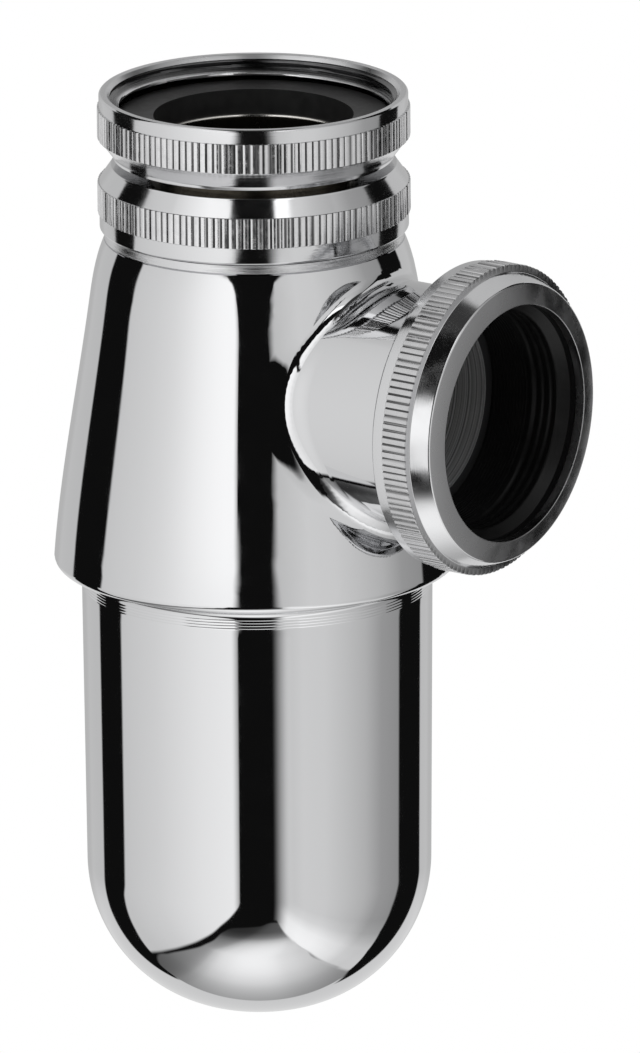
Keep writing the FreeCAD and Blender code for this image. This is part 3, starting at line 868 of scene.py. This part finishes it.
def make_camera():
    """Camera framed on the rim's place in the picture."""
    level = math.cos(ELEVATION)
    to_camera = Vector((math.sin(AZIMUTH) * level, -math.cos(AZIMUTH) * level, math.sin(ELEVATION)))
    right = Vector((math.cos(AZIMUTH), math.sin(AZIMUTH), 0))
    up = to_camera.cross(right)
    data = bpy.data.cameras.new("camera")
    data.sensor_width = SENSOR_WIDTH
    data.lens = SENSOR_WIDTH * CAMERA_DISTANCE / (PHOTO_HEIGHT * PHOTO_MM_PER_PIXEL)
    data.clip_start = 0.1
    data.clip_end = 50.0
    across = (PHOTO_WIDTH / 2 - RIM_PIXEL[0]) * PHOTO_MM_PER_PIXEL
    down = (PHOTO_HEIGHT / 2 - RIM_PIXEL[1]) * PHOTO_MM_PER_PIXEL
    target = Vector((0, 0, RIM_Z)) + right * across - up * down
    camera = bpy.data.objects.new("camera", data)
    bpy.context.collection.objects.link(camera)
    camera.location = (target + to_camera * CAMERA_DISTANCE) * MM
    camera.rotation_mode = "QUATERNION"
    turn = to_camera.to_track_quat("Z", "Y").to_matrix() @ Matrix.Rotation(ROLL, 3, "Z")
    camera.rotation_quaternion = turn.to_quaternion()
    bpy.context.scene.camera = camera


# Studio: light by direction round the object. Directions are degrees: across, which is 0 towards the camera
# and grows to the right, and lift, above the level. Two dark slots part the front panels from the wall behind
PANEL_SOFT = 1.2
RING_SOFT = 1.5
SHADE = 0.006
LEFT_SLOT_INNER = ((-48, -121), (-37, -113), (-22, -106), (-16, -101.5), (-8, -98), (-1, -95.5), (20, -95),
                   (45, -108))
LEFT_SLOT_OUTER = ((-52, -141), (-38, -138), (-27, -134), (-16, -128), (23, -126), (28, -143), (38, -143),
                   (45, -122))
RIGHT_SLOT_INNER = ((-54, 131), (-47, 118), (-39, 111), (-28, 108), (30, 107), (45, 112))
RIGHT_SLOT_OUTER = ((-56, 149), (-45, 141), (-16, 136.5), (23, 130), (28, 143), (38, 143), (45, 122))

# Front panels: lower edge and top by across, sides by lift, brightness by across
LEFT_EDGE = ((-120, -46), (-97, -50), (-70, -50), (-46, -45), (-27, -34), (-16, -23), (-12, -15))
LEFT_TOP = ((-90, 50), (-78, 44), (-66, 36), (-58, 31), (-50, 29), (-40, 28.5), (-30, 29), (-24, 28.5),
            (-20, 27), (-16, 22), (-13, 12), (-11, 0))
LEFT_FULL_SIDE = ((-16, -18), (-3, -13.5), (26, -17), (40, -24), (61, -25))
LEFT_DARK_SIDE = ((-16, -9.5), (-3, -8.5), (26, -12), (40, -21), (61, -22))
LEFT_LEVEL = ((-105, 0.74), (-72, 0.86), (-38, 1.06), (-18, 1.14))
RIGHT_EDGE = ((12, -31), (29, -49), (45, -56), (78, -62), (108, -60), (131, -54))
RIGHT_TOP = ((9, 0), (11, 12), (13.5, 22), (16, 26), (22, 28.5), (34, 29), (50, 29), (58, 31), (66, 36),
             (78, 44), (90, 50))
RIGHT_DARK_SIDE = ((-16, 9), (-3, 7.5), (26, 12), (40, 18.5), (61, 19))
RIGHT_FULL_SIDE = ((-16, 21), (-3, 12.5), (26, 17), (40, 21), (61, 22))
RIGHT_LEVEL = ((12, 0.70), (30, 0.84), (45, 0.82), (60, 0.72), (76, 0.60), (90, 0.42), (107, 0.36))
RIGHT_GLOW = ((6, 0.44), (12, 0.38), (20, 0.10), (27, 0.0))

# Bright ring over the panels: its lower edge by how far across, and its brightness on each side
RING_EDGE = ((30, 34), (50, 33), (58, 31), (66, 28))
RING_LEFT_LEVEL = ((-104, 0.68), (-94, 0.77), (-72, 0.94), (-59, 1.12), (-44, 1.3))
RING_RIGHT_LEVEL = ((27, 0.75), (44, 0.86), (59, 0.68), (72, 0.58), (94, 0.42), (104, 0.38))

# Pale table: its far edge by across, and its brightness by its own distances towards the camera and aside
TABLE_EDGE = ((-137, -53), (-120, -49), (-97, -52), (-70, -53), (-46, -49.5), (-27, -40), (-20, -37.5),
              (-11, -37), (0, -36), (11, -33), (29, -49), (45, -56), (78, -62), (108, -60), (131, -54),
              (149, -56))
TABLE_NEAR_LEVEL = ((-0.5, 0.48), (-0.25, 0.64), (0.03, 0.98), (0.31, 1.22), (0.45, 1.24), (0.6, 1.19),
                    (0.73, 1.05), (0.87, 0.68), (1.0, 0.25), (1.14, 0.12))
TABLE_SIDE_LEVEL = ((-0.75, 0.25), (-0.6, 0.30), (-0.45, 0.62), (-0.3, 0.88), (-0.05, 1.0), (0.25, 0.8),
                    (0.6, 0.62), (1.0, 0.6))
TABLE_BACK_START = -0.555
TABLE_BACK_END = -0.535

# Wall behind the object, by how far across
BACK_LEVEL = ((128, 0.66), (150, 0.64), (158, 0.55), (168, 0.51), (180, 0.46))


class Studio(Nodes):
    """Node builder of the world, with the angles of each direction and the masks that panels share."""

    def __init__(self, tree):
        super().__init__(tree)
        split = self.add("ShaderNodeSeparateXYZ")
        self.put(split.inputs[0], self.add("ShaderNodeTexCoord").outputs["Generated"])
        x, y, z = split.outputs
        front = self.minus(self.product(x, math.sin(AZIMUTH)), self.product(y, math.cos(AZIMUTH)))
        side = self.total(self.product(x, math.cos(AZIMUTH)), self.product(y, math.sin(AZIMUTH)))
        self.across = self.product(self.math("ARCTAN2", side, front), 180 / math.pi)
        self.lift = self.product(self.math("ARCSINE", z), 180 / math.pi)
        self.wide = self.math("ABSOLUTE", self.across)

        # Where a direction meets the table: beside the camera's axis and nearer to the camera
        depth = self.math("MAXIMUM", self.product(z, -1.0), 0.02)
        self.beside = self.math("DIVIDE", side, depth)
        self.nearer = self.math("DIVIDE", front, depth)

        self.past_left_slot = self.over(self.across, self.curve(self.lift, LEFT_SLOT_INNER))
        self.past_right_slot = self.over(self.curve(self.lift, RIGHT_SLOT_INNER), self.across)
        left_full = self.curve(self.lift, LEFT_FULL_SIDE)
        left_dark = self.curve(self.lift, LEFT_DARK_SIDE)
        right_dark = self.curve(self.lift, RIGHT_DARK_SIDE)
        right_full = self.curve(self.lift, RIGHT_FULL_SIDE)
        self.left_side = self.remap(self.across, left_full, left_dark, 1.0, 0.0)
        self.right_side = self.remap(self.across, right_dark, right_full)
        self.under_left_top = self.under(self.lift, self.smooth_curve(self.across, LEFT_TOP))
        self.under_right_top = self.under(self.lift, self.smooth_curve(self.across, RIGHT_TOP))

    def over(self, value, edge, soft=PANEL_SOFT):
        """1 where the value is over the edge, with a soft step."""
        return self.remap(self.minus(value, edge), -soft, soft)

    def under(self, value, edge, soft=PANEL_SOFT):
        """1 where the value is under the edge, with a soft step."""
        return self.remap(self.minus(value, edge), -soft, soft, 1.0, 0.0)

    def rest_of(self, mask):
        return self.minus(1.0, mask)

    def left_panel(self):
        """The left panel's shape and light. It is a little brighter beside the gap in front."""
        by_gap = self.product(self.remap(self.lift, -14.0, 0.0), self.remap(self.across, -62.0, -22.0))
        gap_glow = self.math("MULTIPLY_ADD", by_gap, 0.17, 1.0)
        over_edge = self.over(self.lift, self.smooth_curve(self.across, LEFT_EDGE))
        shape = self.product(self.past_left_slot, self.left_side, over_edge)
        level = self.curve(self.across, LEFT_LEVEL)
        return shape, self.product(shape, level, gap_glow, self.under_left_top)

    def right_panel(self):
        """The right panel's shape and light, with a glow along its lower edge."""
        above_edge = self.minus(self.lift, self.smooth_curve(self.across, RIGHT_EDGE))
        over_edge = self.remap(above_edge, -PANEL_SOFT, PANEL_SOFT)
        shape = self.product(self.past_right_slot, self.right_side, over_edge)
        level = self.total(self.curve(self.across, RIGHT_LEVEL), self.curve(above_edge, RIGHT_GLOW))
        return shape, self.product(shape, level, self.under_right_top)

    def ring(self):
        """Light of the ring above both panels, with a hot spot on its right."""
        over_edge = self.over(self.lift, self.curve(self.wide, RING_EDGE), RING_SOFT)
        shape = self.product(over_edge, self.remap(self.lift, 66.0, 72.0, 1.0, 0.0))
        left = self.product(shape, self.rest_of(self.under_left_top), self.past_left_slot, self.left_side,
                            self.curve(self.across, RING_LEFT_LEVEL))
        right = self.product(shape, self.rest_of(self.under_right_top), self.past_right_slot, self.right_side,
                             self.curve(self.across, RING_RIGHT_LEVEL))
        hot_spot = self.product(shape, self.right_side, self.remap(self.across, 33.0, 38.0, 0.8, 0.0))
        return self.total(left, right, hot_spot)

    def back_wall(self):
        """Light of the wall behind the object and of the table's far end."""
        low_level = self.remap(self.lift, -26.0, -16.0, 0.78, 0.0)
        high_level = self.product(self.remap(self.lift, -26.0, -16.0), self.curve(self.wide, BACK_LEVEL))
        past_left = self.over(self.curve(self.lift, LEFT_SLOT_OUTER), self.across)
        past_right = self.over(self.across, self.curve(self.lift, RIGHT_SLOT_OUTER))
        low = self.remap(self.lift, -53.0, -55.0)
        wall = self.product(self.math("MAXIMUM", past_left, past_right), self.rest_of(low))
        far_table = self.product(self.remap(self.nearer, TABLE_BACK_END, TABLE_BACK_START), low)
        return self.product(self.total(wall, far_table), self.total(low_level, high_level))

    def table(self, left_shape, right_shape):
        """Light of the table, where no panel stands in front of it."""
        past_edge = self.minus(self.lift, self.smooth_curve(self.across, TABLE_EDGE))
        on_table = self.remap(past_edge, 0.8, -0.8)
        this_side = self.remap(self.nearer, TABLE_BACK_START, TABLE_BACK_END)
        narrowing = self.product(self.math("MAXIMUM", self.minus(self.nearer, 0.5), 0.0), 0.67)
        sideways = self.minus(self.beside, narrowing)
        near_level = self.smooth_curve(self.nearer, TABLE_NEAR_LEVEL)
        side_level = self.smooth_curve(sideways, TABLE_SIDE_LEVEL)
        clear = self.product(self.rest_of(left_shape), self.rest_of(right_shape))
        return self.product(on_table, this_side, near_level, side_level, clear)


def make_world():
    """The studio as every reflection sees it, and plain white behind the object in the picture."""
    world = bpy.data.worlds.new("studio")
    bpy.context.scene.world = world
    world.use_nodes = True
    nodes = Studio(world.node_tree)
    left_shape, left = nodes.left_panel()
    right_shape, right = nodes.right_panel()
    walls = nodes.total(left, right, nodes.ring(), nodes.back_wall())
    under_ceiling = nodes.remap(nodes.lift, 70.0, 78.0, 1.0, 0.0)
    ceiling = nodes.remap(nodes.lift, 66.0, 78.0, 0.0, 0.04)
    table = nodes.table(left_shape, right_shape)
    studio = nodes.add("ShaderNodeBackground")
    nodes.put(studio.inputs["Color"], nodes.total(SHADE, nodes.product(walls, under_ceiling), table, ceiling))
    plain = nodes.add("ShaderNodeBackground")
    plain.inputs["Color"].default_value = grey(1.0)
    mix = nodes.add("ShaderNodeMixShader")
    nodes.put(mix.inputs[0], nodes.add("ShaderNodeLightPath").outputs["Is Camera Ray"])
    nodes.tree.links.new(studio.outputs[0], mix.inputs[1])
    nodes.tree.links.new(plain.outputs[0], mix.inputs[2])
    output = nodes.add("ShaderNodeOutputWorld")
    nodes.tree.links.new(mix.outputs[0], output.inputs["Surface"])


# Floor
CUP_TRAVEL = 10.0
FLOOR_GAP = 0.5
FLOOR_HALF_WIDTH = 6000.0


def make_floor():
    """Plain pale floor, low enough for the dome of a cup that is unscrewed."""
    material = bpy.data.materials.new("pale_floor")
    material.use_nodes = True
    nodes = Nodes(material.node_tree)
    glow = nodes.add("ShaderNodeEmission")
    glow.inputs["Color"].default_value = grey(1.0)
    output = nodes.add("ShaderNodeOutputMaterial")
    nodes.tree.links.new(glow.outputs[0], output.inputs["Surface"])
    mesh = bpy.data.meshes.new("floor")
    half = FLOOR_HALF_WIDTH * MM
    height = cad_low.z - (CUP_TRAVEL + FLOOR_GAP) * MM
    corners = [(-half, -half, height), (half, -half, height), (half, half, height), (-half, half, height)]
    mesh.from_pydata(corners, [], [(0, 1, 2, 3)])
    mesh.materials.append(material)
    floor = bpy.data.objects.new("floor", mesh)
    bpy.context.collection.objects.link(floor)
    floor.visible_glossy = False
    floor.visible_diffuse = False
    floor.visible_shadow = False


make_inlet_nut()
make_neck_nut()
make_outlet_nut()
make_cup()
make_seal()
make_tube()
dress("trap_body", body_chrome)
dress("tube_collar", tube_brass)
dress("inlet_washer", washer_rubber)
dress("neck_washer", washer_rubber)
dress("cup_washer", washer_rubber)
dress("outlet_slip_ring", ring_plastic)
make_camera()
make_world()
make_floor()
bpy.context.scene.view_settings.view_transform = "Standard"
